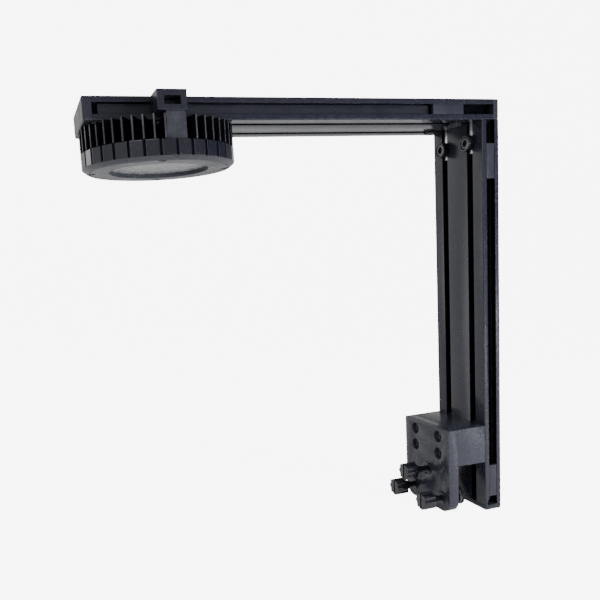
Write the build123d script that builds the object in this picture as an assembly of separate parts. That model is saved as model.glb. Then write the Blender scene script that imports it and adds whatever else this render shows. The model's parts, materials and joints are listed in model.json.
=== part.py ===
from build123d import *
import math
import os

# Clamp-on arm light. Millimetres, +Z up. The origin is the middle of the clamp block's underside, where the
# top edge of the panel sits. The arm reaches out along -X, and -Y is the front.

# ---- plays between parts, and how far a cutting tool runs past the face it opens
running_play = 0.05
clearance_play = 0.25
press_play = 0.02
overcut = 1.0

# ---- aluminium profile, used upright as the post and level as the arm
profile_width = 60.0
profile_thickness = 15.0
profile_corner = 0.8
slot_pitch = 31.0
slot_opening = 6.5
slot_lip = 2.0
slot_inside = 11.0
slot_floor = 7.5
channel_opening = 7.4
channel_lip = 1.5
channel_inside = 9.4
channel_depth = 6.5
core_hollow = (17.0, 10.6)
rear_hollow = (9.6, 3.2)
rear_hollow_centre = 11.2

# ---- frame
jaw_gap = 25.5
seat_above_foot = 41.0
post_height = 307.0
arm_length = 310.0
cap_thickness = 4.5
tip_cap_thickness = 6.1
foot_thickness = 4.2
cap_corner = 1.1
cap_edge = 1.0
cap_plug_length = 8.0
cap_plug_play = 0.2
exit_radius = 8.0
exit_inset = 1.5

# ---- corner joint
connector_thickness = 4.0
connector_leg = 22.4
connector_width = 10.4
connector_neck = 6.2
post_bolt_offset = 14.6
arm_bolt_offset = 13.6
bolt_shank_radius = 3.0
bolt_head_radius = 4.7
bolt_head_height = 4.6
bolt_head_chamfer = 0.5
bolt_socket = 5.0
bolt_socket_depth = 2.8
low_head_height = 2.0
low_socket = 4.0
low_socket_depth = 1.3
bolt_end_gap = 0.2
bolt_collar_radius = 6.1
bolt_collar_height = 5.0
bolt_collar_grooves = 20
bolt_collar_groove = 0.7

# ---- cable clips and the strip in the arm's front channel
clip_length = 26.0
clip_thickness = 1.4
clip_wall = 1.0
clip_wall_depth = 3.2
clip_recess = 0.2
strip_thickness = 2.0
strip_height = 7.0
strip_from_cap = 4.0
strip_to_clip = 0.9
arm_clip_from_post = 16.0
post_clip_drop = 17.2
foot_clip_rise = 11.4

# ---- clamp
plate_thickness = 8.5
plate_corner = 10.0
block_height = 30.0
seat_length = 16.6
seat_relief = 0.3
plate_drop = 38.5
clamp_play = 0.1
clamp_screw_rise = (8.4, 22.4)
clamp_screw_radius = 2.5
clamp_head_radius = 4.2
clamp_head_height = 4.0
clamp_key = 4.0
clamp_key_depth = 2.3
clamp_screw_beyond_nut = 0.3
counterbore_radius = 4.7
counterbore_depth = 6.8
nut_width = 10.4
nut_thickness = 4.0
nut_length = 28.0

# ---- thumb screws and their pads: name, y, z, x of the pad's face
screw_places = {
    "top": (0.0, -8.2, -7.25),
    "rear": (19.0, -27.8, -4.85),
    "front": (-19.0, -27.8, -4.25),
}
thumb_head_radius = 7.0
thumb_head_length = 10.5
thumb_flutes = 8
thumb_flute_radius = 2.6
thumb_flute_circle = 8.61
thumb_slot = (1.6, 2.0)
thumb_shank_radius = 3.0
thumb_shank_length = 21.8
thumb_tip = (2.0, 2.5)
pad_radius = 7.5
pad_thickness = 4.0
pad_edge = 0.6
bush_radius = 4.25
bush_flange_radius = 5.2
bush_flange = 0.6

# ---- lamp head, heights counted up from its lower face
head_from_post = 242.75
head_top_gap = 0.4
head_below_arm = 27.8
head_radius = 52.4
bezel_face_radius = 49.2
bezel_opening_radius = 34.3
bezel_bevel = 2.4
bezel_thickness = 3.0
bezel_land_radius = 49.2
ring_top = 12.4
ring_panels = 32
ring_turn = 1.75
ring_groove = (2.0, 0.6)
window_radius = 38.0
window_thickness = 2.0
gasket_width = 2.5
retainer_top = 7.0
board_radius = 36.0
board_ledge = 1.5
board_thickness = 1.4
emitter_size = 3.5
emitter_height = 1.0
emitter_rings = ((0.0, 1), (9.0, 6), (18.0, 12), (27.0, 16))
base_radius = 49.0
base_top = 12.6
hub_radius = 15.0
hub_wall = 2.0
hub_top = 18.0
fin_count = 48
fin_thickness = 1.2
fin_first_angle = -88.1
bezel_screw_circle = 45.8
bezel_screw_first = -9.0
small_screw_radius = 1.5
small_head_radius = 2.5
small_head_height = 1.5
small_head_sunk = 0.4
small_key = 2.0
small_key_depth = 0.8
bezel_screw_end = 1.0
board_screw_circle = 31.8
board_head = (1.9, 1.0)
board_screw_end = 0.6
hole_end_gap = 0.1
gland_angle = 52.0
gland_radius = 3.8
gland_bore_radius = 2.1
gland_length = 9.0
gland_start = 0.3
gland_nut_radius = 4.4
gland_nut_thickness = 3.0
gland_nut_gap = 0.1

# ---- hangers that carry the head on the arm's edge channels
hanger_width = 19.2
hanger_shift = 1.35
hanger_height = 12.8
hanger_reach = 18.0
hanger_play = 0.3
hanger_edge = 0.8
hanger_floor = 5.0
hanger_window = (10.6, 5.3)
hanger_window_rise = 6.2
hanger_window_shift = 0.2
tongue_width = 7.0
shoe_width = 9.0
shoe_thickness = 2.6
shoe_length = 17.0
shoe_play = 0.2
leg_width = 12.8
leg_offset = 3.35
leg_thickness = 3.0
leg_recess = 1.0
leg_flange = 2.0
leg_foot_length = 9.0
leg_top_length = 12.0
leg_foot_screw = 6.0
leg_top_screw = 7.0
leg_pocket_play = 0.6
leg_screw_head = (2.4, 1.4)
leg_low_head_height = 1.0
leg_screw_into_base = 2.8
leg_screw_into_block = 2.2
hanger_screw_radius = 2.0
hanger_head = (2.5, 2.2)
hanger_key = (1.1, 1.2)

# ---- places worked out from the sizes above
half_width = profile_width / 2
half_thickness = profile_thickness / 2
post_inner = jaw_gap / 2
post_outer = post_inner + profile_thickness
post_mid = post_inner + half_thickness
foot_z = -seat_above_foot
arm_under = foot_z + post_height
arm_mid = arm_under + half_thickness
arm_top = arm_under + profile_thickness
arm_tip = post_outer - arm_length
plate_inner = -jaw_gap / 2
plate_outer = plate_inner - plate_thickness
slot_rows = (-slot_pitch / 2, slot_pitch / 2)
head_x = post_inner - head_from_post
hanger_x = head_x + hanger_shift
head_z = arm_under - head_below_arm
head_top = head_below_arm - head_top_gap
bolt_z = arm_under - post_bolt_offset
bolt_x = post_inner - arm_bolt_offset
arm_clip_x = post_inner - arm_clip_from_post
post_clip_z = arm_under - post_clip_drop
foot_clip_z = foot_z + foot_clip_rise + clip_length


def span(x, y, z):
    """Box between two limits on each axis."""
    size = [high - low for low, high in (x, y, z)]
    return Pos(x[0], y[0], z[0]) * Box(*size, align=(Align.MIN, Align.MIN, Align.MIN))


def rod_x(radius, x, y, z):
    """Cylinder along X between two x values."""
    return Pos(x[0], y, z) * Rot(0, 90, 0) * Cylinder(
        radius, x[1] - x[0], align=(Align.CENTER, Align.CENTER, Align.MIN)
    )


def rod_y(radius, x, y, z):
    """Cylinder along Y between two y values."""
    return Pos(x, y[0], z) * Rot(-90, 0, 0) * Cylinder(
        radius, y[1] - y[0], align=(Align.CENTER, Align.CENTER, Align.MIN)
    )


def rod_z(radius, x, y, z):
    """Cylinder along Z between two z values."""
    return Pos(x, y, z[0]) * Cylinder(
        radius, z[1] - z[0], align=(Align.CENTER, Align.CENTER, Align.MIN)
    )


def write(node, *solids):
    """One STEP file for a node: a single solid, or identical pieces as a group."""
    shape = solids[0] if len(solids) == 1 else Compound(children=list(solids))
    export_step(shape, f"parts/{node}.step")


def around(count, first, circle):
    """Points evenly spaced on a circle, with their angles in degrees."""
    for k in range(count):
        angle = first + k * 360 / count
        turn = math.radians(angle)
        yield circle * math.cos(turn), circle * math.sin(turn), angle


# ---- profile: x runs from the slotted face to the plain face, y across the width
def profile_section():
    def cut(x, y):
        return Pos((x[0] + x[1]) / 2, (y[0] + y[1]) / 2) * Rectangle(x[1] - x[0], y[1] - y[0])

    section = Pos(half_thickness, 0) * RectangleRounded(profile_thickness, profile_width, profile_corner)
    for row in slot_rows:
        section -= cut((-overcut, slot_lip), (row - slot_opening / 2, row + slot_opening / 2))
        section -= cut((slot_lip, slot_floor), (row - slot_inside / 2, row + slot_inside / 2))
        section -= Pos(rear_hollow_centre, row) * Rectangle(rear_hollow[1], rear_hollow[0])
    for side in (-1, 1):
        mouth = sorted((side * (half_width + overcut), side * (half_width - channel_lip)))
        inside = sorted((side * (half_width - channel_lip), side * (half_width - channel_depth)))
        section -= cut((half_thickness - channel_opening / 2, half_thickness + channel_opening / 2), mouth)
        section -= cut((half_thickness - channel_inside / 2, half_thickness + channel_inside / 2), inside)
    section -= Pos(half_thickness, 0) * Rectangle(core_hollow[1], core_hollow[0])
    return section


def cable_exit():
    """Quarter-round opening at the foot of the front channel, where the cable comes out."""
    centre_x = post_mid + channel_opening / 2 - exit_inset
    low = foot_z + foot_thickness
    y = (-half_width - overcut, -half_width + channel_depth)
    disc = rod_y(exit_radius, centre_x, y, low)
    return disc & span((centre_x - exit_radius, centre_x), y, (low, low + exit_radius))


def post_profile():
    low = foot_z + foot_thickness
    body = Pos(post_inner, 0, low) * extrude(profile_section(), arm_under - low)
    return body - cable_exit()


def arm_profile():
    left = arm_tip + tip_cap_thickness
    right = post_outer - cap_thickness
    plane = Plane(origin=(left, 0, arm_under), x_dir=(0, 0, 1), z_dir=(1, 0, 0))
    return extrude(plane * profile_section(), right - left)


def end_cap(thickness):
    """Cap in the profile's own section, outer face at z = 0, plug reaching up into the core hollow."""
    outline = RectangleRounded(profile_thickness, profile_width, cap_corner)
    plate = extrude(Pos(half_thickness, 0) * outline, thickness)
    plate = fillet(plate.faces().sort_by(Axis.Z)[0].edges(), cap_edge)
    plug_size = (core_hollow[1] - 2 * cap_plug_play, core_hollow[0] - 2 * cap_plug_play)
    plug = Pos(half_thickness, 0, thickness) * Box(
        *plug_size, cap_plug_length, align=(Align.CENTER, Align.CENTER, Align.MIN)
    )
    return plate + plug


def foot_cap():
    return Pos(post_inner, 0, foot_z) * end_cap(foot_thickness)


def arm_cap(x, inward, thickness):
    plane = Plane(origin=(x, 0, arm_under), x_dir=(0, 0, 1), z_dir=(inward, 0, 0))
    return plane.location * end_cap(thickness)


# ---- corner joint
def corner_connector(y):
    """Angle piece: one leg in the arm's slot, the other in the post's, joined by a narrow neck."""
    post_x = (post_inner + slot_lip, post_inner + slot_lip + connector_thickness)
    arm_z = (arm_under + slot_lip, arm_under + slot_lip + connector_thickness)
    wide = (y - connector_width / 2, y + connector_width / 2)
    narrow = (y - connector_neck / 2, y + connector_neck / 2)
    arm_leg = span((post_inner - connector_leg, post_x[1]), wide, arm_z)
    post_leg = span(post_x, wide, (arm_under - connector_leg, arm_under - bolt_end_gap))
    neck = span(post_x, narrow, (arm_under - overcut, arm_z[1]))
    bolt_hole = bolt_shank_radius + running_play
    body = arm_leg + post_leg + neck
    body -= rod_x(bolt_hole, (post_inner, post_outer), y, bolt_z)
    return body - rod_z(bolt_hole, bolt_x, y, (arm_under, arm_top))


def corner_bolt(height, key, key_depth):
    """Socket screw standing along +Z, with the seat of its head at z = 0 and the thread below it."""
    head = extrude(Circle(bolt_head_radius), height)
    head = chamfer(head.edges().filter_by(GeomType.CIRCLE).sort_by(Axis.Z)[-1], bolt_head_chamfer)
    socket = RegularPolygon(key / 2, 6, major_radius=False)
    head -= Pos(0, 0, height - key_depth) * extrude(socket, key_depth + overcut)
    return head + rod_z(bolt_shank_radius, 0, 0, (-slot_lip - connector_thickness + bolt_end_gap, 0))


def corner_bolt_collar():
    """Ridged collar pressed over the screw's head for gripping."""
    ring = Circle(bolt_collar_radius) - Circle(bolt_head_radius + running_play)
    for x, y, angle in around(bolt_collar_grooves, 0, bolt_collar_radius):
        ring -= Pos(x, y) * Rot(0, 0, angle + 45) * Rectangle(bolt_collar_groove, bolt_collar_groove)
    return extrude(ring, bolt_collar_height)


def post_bolt_places():
    for y in slot_rows:
        yield Pos(post_inner, y, bolt_z) * Rot(0, -90, 0)


def arm_bolt_places():
    for y in slot_rows:
        yield Pos(bolt_x, y, arm_under) * Rot(180, 0, 0)


# ---- cable clips: a face that fills the channel's opening, with a wider back and two walls behind its lips
def cable_clip():
    """Clip lying along X from x = 0. The lips' inner side is y = 0, and the walls reach towards +Y."""
    width = channel_inside - 2 * cap_plug_play
    nose = channel_opening - 2 * cap_plug_play
    face = span((0, clip_length), (0, clip_thickness), (-width / 2, width / 2))
    face += span((0, clip_length), (clip_recess - channel_lip, clip_thickness), (-nose / 2, nose / 2))
    for side in (-1, 1):
        edge = sorted((side * width / 2, side * (width / 2 - clip_wall)))
        face += span((0, clip_length), (0, clip_wall_depth), edge)
    return face


def arm_clip():
    return Pos(arm_clip_x - clip_length, -half_width + channel_lip, arm_mid) * cable_clip()


def post_clip(top):
    return Pos(post_mid, -half_width + channel_lip, top) * Rot(0, 90, 0) * cable_clip()


def channel_strip():
    floor = -half_width + channel_depth
    x = (arm_tip + tip_cap_thickness + strip_from_cap, arm_clip_x - clip_length - strip_to_clip)
    z = (arm_mid - strip_height / 2, arm_mid + strip_height / 2)
    return span(x, (floor - strip_thickness, floor), z)


# ---- clamp
def clamp_screw_places():
    for y in slot_rows:
        for z in clamp_screw_rise:
            yield y, z


def clamp_plate():
    plate = span((plate_outer, plate_inner), (-half_width, half_width), (-plate_drop, block_height))
    bottom = plate.edges().filter_by(Axis.X).group_by(Axis.Z)[0]
    plate = fillet(bottom, plate_corner)
    for y, z in clamp_screw_places():
        plate -= rod_x(counterbore_radius, (plate_outer - overcut, plate_outer + counterbore_depth), y, z)
        plate -= rod_x(clamp_screw_radius + clearance_play, (plate_outer, plate_inner + overcut), y, z)
    for y, z, _ in screw_places.values():
        plate -= rod_x(bush_radius, (plate_outer - overcut, plate_inner + overcut), y, z)
    return plate


def clamp_block():
    """Block whose underside steps up by the relief next to the plate, which leaves the seat for the panel."""
    right = post_inner - clamp_play
    y = (-half_width, half_width)
    block = span((plate_inner, right), y, (0, block_height))
    block -= span((plate_inner - overcut, right - seat_length), y, (-overcut, seat_relief))
    for y, z in clamp_screw_places():
        block -= rod_x(clamp_screw_radius + clearance_play, (plate_inner - overcut, post_inner), y, z)
    return block


def clamp_screw(y, z):
    seat = plate_outer + counterbore_depth
    head = rod_x(clamp_head_radius, (seat - clamp_head_height, seat), y, z)
    key = extrude(RegularPolygon(clamp_key / 2, 6, major_radius=False), clamp_key_depth + overcut)
    head -= Pos(seat - clamp_head_height - overcut, y, z) * Rot(0, 90, 0) * key
    tip = post_inner + slot_lip + nut_thickness + clamp_screw_beyond_nut
    return head + rod_x(clamp_screw_radius, (seat, tip), y, z)


def clamp_nut(y):
    """Bar behind the lips of the post's slot, with a thread for each screw of its row."""
    low = (clamp_screw_rise[0] + clamp_screw_rise[1] - nut_length) / 2
    x = (post_inner + slot_lip + clamp_play, post_inner + slot_lip + clamp_play + nut_thickness)
    bar = span(x, (y - nut_width / 2, y + nut_width / 2), (low, low + nut_length))
    for z in clamp_screw_rise:
        bar -= rod_x(clamp_screw_radius + running_play, (post_inner, post_outer), y, z)
    return bar


def thumb_bush(y, z):
    """Threaded bush in the plate, its flange showing as a thin ring round the screw."""
    sleeve = rod_x(bush_radius - press_play, (plate_outer, plate_inner), y, z)
    flange = rod_x(bush_flange_radius, (plate_outer - bush_flange, plate_outer), y, z)
    bore = rod_x(thumb_shank_radius + running_play, (plate_outer - overcut, plate_inner + overcut), y, z)
    return sleeve + flange - bore


def thumb_screw(y, z, pad_face):
    """Fluted head with a driver slot, thread, and a turned tip that spins in the pad."""
    pad_back = pad_face - pad_thickness
    thread = (pad_back - thumb_shank_length, pad_back - running_play)
    head = Circle(thumb_head_radius)
    for cx, cy, _ in around(thumb_flutes, 180 / thumb_flutes, thumb_flute_circle):
        head -= Pos(cx, cy) * Circle(thumb_flute_radius)
    face_x = thread[0] - thumb_head_length
    knob = Pos(face_x, y, z) * Rot(0, 90, 0) * extrude(head, thumb_head_length)
    knob -= span(
        (face_x - overcut, face_x + thumb_slot[1]),
        (y - thumb_slot[0] / 2, y + thumb_slot[0] / 2),
        (z - thumb_flute_circle, z + thumb_flute_circle),
    )
    tip = rod_x(thumb_tip[0], (pad_back - overcut, pad_back + thumb_tip[1]), y, z)
    return knob + rod_x(thumb_shank_radius, thread, y, z) + tip


def pressure_pad(y, z, pad_face):
    pad = rod_x(pad_radius, (pad_face - pad_thickness, pad_face), y, z)
    pad = fillet(pad.edges().filter_by(GeomType.CIRCLE), pad_edge)
    back = pad_face - pad_thickness
    return pad - rod_x(
        thumb_tip[0] + running_play, (back - overcut, back + thumb_tip[1] + running_play), y, z
    )


# ---- lamp head, built with its lower face at z = 0 and its axis on the origin
in_place = Pos(head_x, 0, head_z)


def turned(points):
    """Solid of revolution about the head's axis from (radius, height) points."""
    return revolve(Plane.XZ * make_face(Polyline(*points, close=True)), Axis.Z)


def bezel():
    body = turned([
        (bezel_opening_radius, 0), (bezel_face_radius, 0), (head_radius, bezel_bevel),
        (bezel_land_radius, bezel_bevel), (bezel_land_radius, bezel_thickness),
        (bezel_opening_radius, bezel_thickness),
    ])
    for x, y, _ in around(4, bezel_screw_first, bezel_screw_circle):
        body -= rod_z(small_screw_radius + clearance_play, x, y, (-overcut, bezel_thickness + overcut))
        body -= rod_z(small_head_radius, x, y, (-overcut, small_head_height + small_head_sunk))
    return in_place * body


def bezel_screws():
    for x, y, _ in around(4, bezel_screw_first, bezel_screw_circle):
        seat = small_head_height + small_head_sunk
        head = rod_z(small_head_radius - 2 * running_play, x, y, (small_head_sunk, seat))
        key = extrude(RegularPolygon(small_key / 2, 6, major_radius=False), small_key_depth + overcut)
        head -= Pos(x, y, small_head_sunk - overcut) * key
        yield in_place * (head + rod_z(small_screw_radius, x, y, (seat, base_top - bezel_screw_end)))


def housing_ring():
    """Faceted band round the head, with a narrow groove where two panels meet."""
    groove_width, groove_depth = ring_groove
    outline = RegularPolygon(head_radius, ring_panels, rotation=ring_turn)
    for x, y, angle in around(ring_panels, ring_turn, head_radius):
        outline -= Pos(x, y) * Rot(0, 0, angle) * Rectangle(2 * groove_depth, groove_width)
    outline -= Circle(bezel_land_radius)
    band = Pos(0, 0, bezel_bevel) * extrude(outline, ring_top - bezel_bevel)
    band -= gland_solid(gland_radius, 0)
    return in_place * band


def heat_sink():
    """Round base with a hub and thin radial fins, cut away where the two hanger legs stand."""
    fins = Circle(hub_radius)
    for _, _, angle in around(fin_count, fin_first_angle, 1):
        fins += Rot(0, 0, angle) * Pos(head_radius / 2, 0) * Rectangle(head_radius, fin_thickness)
    fins &= Circle(head_radius)
    body = Pos(0, 0, base_top) * extrude(fins, head_top - base_top)
    body += rod_z(base_radius, 0, 0, (retainer_top + board_thickness, base_top))
    body -= rod_z(hub_radius - hub_wall, 0, 0, (hub_top, head_top + overcut))
    for side in (-1, 1):
        body -= leg_pocket(side)
    tapped = small_screw_radius + running_play
    for x, y, _ in around(4, bezel_screw_first, bezel_screw_circle):
        body -= rod_z(tapped, x, y, (0, base_top - bezel_screw_end + hole_end_gap))
    for x, y, _ in around(4, 45, board_screw_circle):
        body -= rod_z(tapped, x, y, (0, base_top - board_screw_end + hole_end_gap))
    for x, y in leg_screw_points():
        body -= rod_z(tapped, x, y, (base_top - leg_screw_into_base - hole_end_gap, base_top + overcut))
    return in_place * body


def lens_window():
    return in_place * rod_z(window_radius, 0, 0, (bezel_thickness, bezel_thickness + window_thickness))


def ring_between(inner, outer, low, high):
    opening = rod_z(inner, 0, 0, (low - overcut, high + overcut))
    return in_place * (rod_z(outer, 0, 0, (low, high)) - opening)


def lens_gasket():
    return ring_between(
        window_radius + running_play,
        window_radius + gasket_width,
        bezel_thickness,
        bezel_thickness + window_thickness,
    )


def lens_retainer():
    inner = board_radius - board_ledge
    return ring_between(
        inner, window_radius + gasket_width, bezel_thickness + window_thickness, retainer_top
    )


def led_board():
    board = rod_z(board_radius, 0, 0, (retainer_top, retainer_top + board_thickness))
    for x, y, _ in around(4, 45, board_screw_circle):
        board -= rod_z(small_screw_radius + clearance_play, x, y, (0, base_top))
    return in_place * board


def led_emitters():
    hanging = (Align.CENTER, Align.CENTER, Align.MAX)
    for circle, count in emitter_rings:
        for x, y, angle in around(count, 0, circle):
            chip = Box(emitter_size, emitter_size, emitter_height, align=hanging)
            yield in_place * Pos(x, y, retainer_top) * Rot(0, 0, angle) * chip


def board_screws():
    for x, y, _ in around(4, 45, board_screw_circle):
        head = rod_z(board_head[0], x, y, (retainer_top - board_head[1], retainer_top))
        shank = rod_z(small_screw_radius, x, y, (retainer_top, base_top - board_screw_end))
        yield in_place * (head + shank)


def gland_solid(radius, start):
    """Radial cylinder through the housing ring at the gland's angle."""
    middle = (bezel_thickness + ring_top) / 2
    length = head_radius + gland_length - base_radius
    tube = Cylinder(radius, length, align=(Align.CENTER, Align.CENTER, Align.MIN))
    return Rot(0, 0, gland_angle) * Pos(base_radius + gland_start + start, 0, middle) * Rot(0, 90, 0) * tube


def cable_gland():
    start = head_radius + gland_nut_gap
    place = Rot(0, 0, gland_angle) * Pos(start, 0, (bezel_thickness + ring_top) / 2) * Rot(0, 90, 0)
    nut = place * extrude(RegularPolygon(gland_nut_radius, 6, major_radius=False), gland_nut_thickness)
    body = gland_solid(gland_radius - press_play, 0) + nut
    for end in (-overcut, overcut):
        body -= gland_solid(gland_bore_radius, end)
    return in_place * body


# ---- hangers. side is -1 for the front one and 1 for the rear one
def facing(side, near, far):
    """Y limits counted outwards from the arm's edge face on one side."""
    return sorted((side * (half_width + near), side * (half_width + far)))


def hanger_block(side):
    """Block beside the arm: open window in its outer face and a tongue in the arm's channel."""
    x = (hanger_x - hanger_width / 2, hanger_x + hanger_width / 2)
    z = (arm_top - hanger_height, arm_top)
    block = span(x, facing(side, hanger_play, hanger_reach), z)
    block = fillet(block.faces().sort_by(Axis.Y)[0 if side < 0 else -1].edges(), hanger_edge)
    mid_z = z[0] + hanger_window_rise
    mid_x = hanger_x + hanger_window_shift
    window_x = (mid_x - hanger_window[0] / 2, mid_x + hanger_window[0] / 2)
    window_z = (mid_z - hanger_window[1] / 2, mid_z + hanger_window[1] / 2)
    block -= span(window_x, facing(side, hanger_floor, hanger_reach + overcut), window_z)
    tongue_z = (arm_mid - tongue_width / 2, arm_mid + tongue_width / 2)
    block += span(x, facing(side, -channel_lip - shoe_play, hanger_play + overcut), tongue_z)
    y = facing(side, -channel_depth, hanger_floor + overcut)
    block -= rod_y(hanger_screw_radius + 2 * running_play, hanger_x, y, mid_z)
    tapped_z = (z[0] - overcut, z[0] + leg_screw_into_block + hole_end_gap)
    for px, py in leg_screw_points(top=True):
        if py * side > 0:
            block -= rod_z(small_screw_radius + running_play, head_x + px, py, tapped_z)
    return block


def hanger_shoe(side):
    """Sliding shoe behind the channel's lips."""
    near = -channel_lip - shoe_play
    x = (hanger_x - shoe_length / 2, hanger_x + shoe_length / 2)
    shoe = span(
        x, facing(side, near - shoe_thickness, near), (arm_mid - shoe_width / 2, arm_mid + shoe_width / 2)
    )
    mid_z = arm_top - hanger_height + hanger_window_rise
    return shoe - rod_y(hanger_screw_radius + running_play, hanger_x, facing(side, -channel_depth, 0), mid_z)


def hanger_screw(side):
    """Screw at the bottom of the window that draws the shoe against the lips."""
    mid_z = arm_top - hanger_height + hanger_window_rise
    screw_head_radius, head_height = hanger_head
    key_radius, key_depth = hanger_key
    top = hanger_floor + head_height
    head = rod_y(screw_head_radius, hanger_x, facing(side, hanger_floor, top), mid_z)
    key = rod_y(key_radius, hanger_x, facing(side, top - key_depth, top + overcut), mid_z)
    shank_end = -channel_lip - shoe_play - shoe_thickness + hole_end_gap
    return head - key + rod_y(hanger_screw_radius, hanger_x, facing(side, shank_end, hanger_floor), mid_z)


def leg_face():
    """Distance of a leg's outer face from the arm's edge face."""
    return hanger_reach - leg_recess


def leg_pocket(side):
    """Space in the fins for a leg, in the head's own frame."""
    half = leg_width / 2 + leg_pocket_play
    inner = leg_face() - leg_foot_length - leg_pocket_play
    y = facing(side, inner, head_radius)
    return span((leg_offset - half, leg_offset + half), y, (base_top, head_top + overcut))


def leg_screw_points(top=False):
    """Centres of the small screws in the legs' flanges, relative to the head's axis."""
    reach = leg_face() - (leg_top_screw if top else leg_foot_screw)
    for side in (-1, 1):
        for dx in (-leg_width / 4, leg_width / 4):
            yield leg_offset + dx, side * (half_width + reach)


def hanger_leg(side):
    """Flat leg from the heat sink's base up to the block, with a flange at each end."""
    x = (head_x + leg_offset - leg_width / 2, head_x + leg_offset + leg_width / 2)
    z = (head_z + base_top, arm_top - hanger_height)
    face = leg_face()
    leg = span(x, facing(side, face - leg_thickness, face), z)
    leg += span(x, facing(side, face - leg_top_length, face), (z[1] - leg_flange, z[1]))
    leg += span(x, facing(side, face - leg_foot_length, face), (z[0], z[0] + leg_flange))
    hole = small_screw_radius + 2 * running_play
    for px, py in leg_screw_points():
        leg -= rod_z(hole, head_x + px, py, (z[0] - overcut, z[0] + leg_flange + overcut))
    for px, py in leg_screw_points(top=True):
        leg -= rod_z(hole, head_x + px, py, (z[1] - leg_flange - overcut, z[1] + overcut))
    return leg


def leg_screws():
    """Screws through both flanges of both legs."""
    radius, height = leg_screw_head
    base = head_z + base_top
    foot_seat = base + leg_flange
    block_under = arm_top - hanger_height
    top_seat = block_under - leg_flange
    for px, py in leg_screw_points():
        x = head_x + px
        head = rod_z(radius, x, py, (foot_seat, foot_seat + height))
        yield head + rod_z(small_screw_radius, x, py, (base - leg_screw_into_base, foot_seat))
    for px, py in leg_screw_points(top=True):
        x = head_x + px
        head = rod_z(radius, x, py, (top_seat - leg_low_head_height, top_seat))
        yield head + rod_z(small_screw_radius, x, py, (top_seat, block_under + leg_screw_into_block))


os.makedirs("parts", exist_ok=True)

write("post_profile", post_profile())
write("arm_profile", arm_profile())
write("post_foot_cap", foot_cap())
write("arm_tip_cap", arm_cap(arm_tip, 1, tip_cap_thickness))
write("arm_corner_cap", arm_cap(post_outer, -1, cap_thickness))
write("front_corner_connector", corner_connector(slot_rows[0]))
write("rear_corner_connector", corner_connector(slot_rows[1]))
post_bolt = corner_bolt(bolt_head_height, bolt_socket, bolt_socket_depth)
arm_bolt = corner_bolt(low_head_height, low_socket, low_socket_depth)
write("post_corner_bolts", *[place * post_bolt for place in post_bolt_places()])
write("post_bolt_collars", *[place * corner_bolt_collar() for place in post_bolt_places()])
write("arm_corner_bolts", *[place * arm_bolt for place in arm_bolt_places()])
write("arm_cable_clip", arm_clip())
write("post_top_cable_clip", post_clip(post_clip_z))
write("post_foot_cable_clip", post_clip(foot_clip_z))
write("arm_channel_strip", channel_strip())

write("clamp_plate", clamp_plate())
write("clamp_block", clamp_block())
write("clamp_screws", *[clamp_screw(y, z) for y, z in clamp_screw_places()])
write("clamp_slot_nuts", *[clamp_nut(y) for y in slot_rows])
write("thumb_screw_bushes", *[thumb_bush(y, z) for y, z, _ in screw_places.values()])
for name, place in screw_places.items():
    write(f"{name}_thumb_screw", thumb_screw(*place))
    write(f"{name}_pressure_pad", pressure_pad(*place))

write("bezel", bezel())
write("bezel_screws", *bezel_screws())
write("housing_ring", housing_ring())
write("heat_sink", heat_sink())
write("lens_window", lens_window())
write("lens_gasket", lens_gasket())
write("lens_retainer", lens_retainer())
write("led_board", led_board())
write("led_emitters", *led_emitters())
write("board_screws", *board_screws())
write("cable_gland", cable_gland())
for name, side in (("front", -1), ("rear", 1)):
    write(f"{name}_hanger_block", hanger_block(side))
    write(f"{name}_hanger_leg", hanger_leg(side))
    write(f"{name}_hanger_shoe", hanger_shoe(side))
    write(f"{name}_hanger_screw", hanger_screw(side))
write("hanger_leg_screws", *leg_screws())
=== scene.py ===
import json
import math

import bmesh
import bpy
import numpy as np
from mathutils import Matrix, Vector


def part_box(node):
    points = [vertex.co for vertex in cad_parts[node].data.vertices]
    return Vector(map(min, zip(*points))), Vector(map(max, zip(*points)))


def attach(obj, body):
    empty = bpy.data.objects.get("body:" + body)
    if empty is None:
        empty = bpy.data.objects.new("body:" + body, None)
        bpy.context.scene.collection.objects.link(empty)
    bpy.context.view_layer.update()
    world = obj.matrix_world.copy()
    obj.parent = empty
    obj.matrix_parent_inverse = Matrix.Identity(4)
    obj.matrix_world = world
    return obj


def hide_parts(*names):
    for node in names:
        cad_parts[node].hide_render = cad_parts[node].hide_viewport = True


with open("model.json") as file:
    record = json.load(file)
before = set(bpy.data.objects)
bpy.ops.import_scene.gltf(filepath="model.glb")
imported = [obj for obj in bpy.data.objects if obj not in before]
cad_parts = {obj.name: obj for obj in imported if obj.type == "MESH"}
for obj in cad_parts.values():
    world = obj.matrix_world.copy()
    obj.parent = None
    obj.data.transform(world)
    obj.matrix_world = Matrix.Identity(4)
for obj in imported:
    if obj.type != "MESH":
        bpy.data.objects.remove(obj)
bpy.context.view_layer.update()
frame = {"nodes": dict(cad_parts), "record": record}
record = frame["record"]
bodyOf = {name: body for body, names in record["behaviour"]["bodies"].items() for name in names}
slotOf = {row["node"]: row["material_slot"] for row in record["subparts"]}
mm = 0.001

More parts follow.
